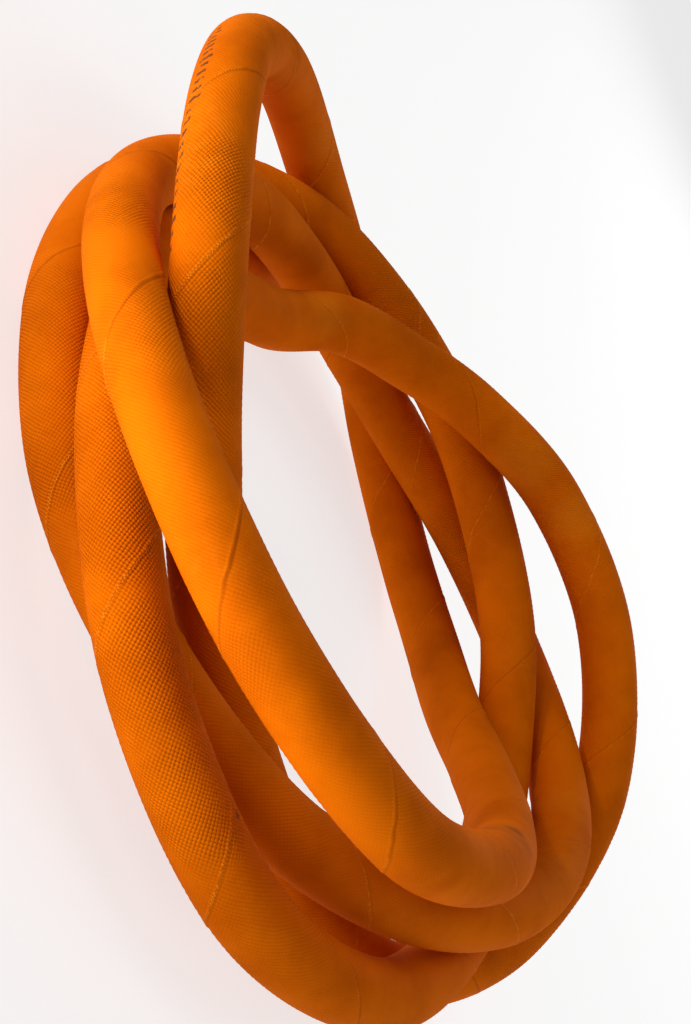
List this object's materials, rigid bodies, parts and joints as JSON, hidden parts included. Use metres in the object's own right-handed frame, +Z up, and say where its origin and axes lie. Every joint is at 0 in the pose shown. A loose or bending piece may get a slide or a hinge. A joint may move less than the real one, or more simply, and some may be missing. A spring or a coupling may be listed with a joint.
{
  "type": "rubber gas hose",
  "caption": "Orange rubber gas tubing with a through bore, lying in a loose coil, with plain cut ends that push onto hose tails.",
  "frame": {"origin": "on the surface the coil lies on, under the middle of the coil", "axes": "+Z up, out of the surface; the coil lies in X and Y, and both cut ends run along Y"},
  "size_m": [0.2315, 0.2203, 0.0647],
  "materials": {
    "orange_rubber": "matt, with a fine cloth imprint"
  },
  "bodies": {
    "root": {"hose": "orange_rubber"}
  },
  "joints": []
}
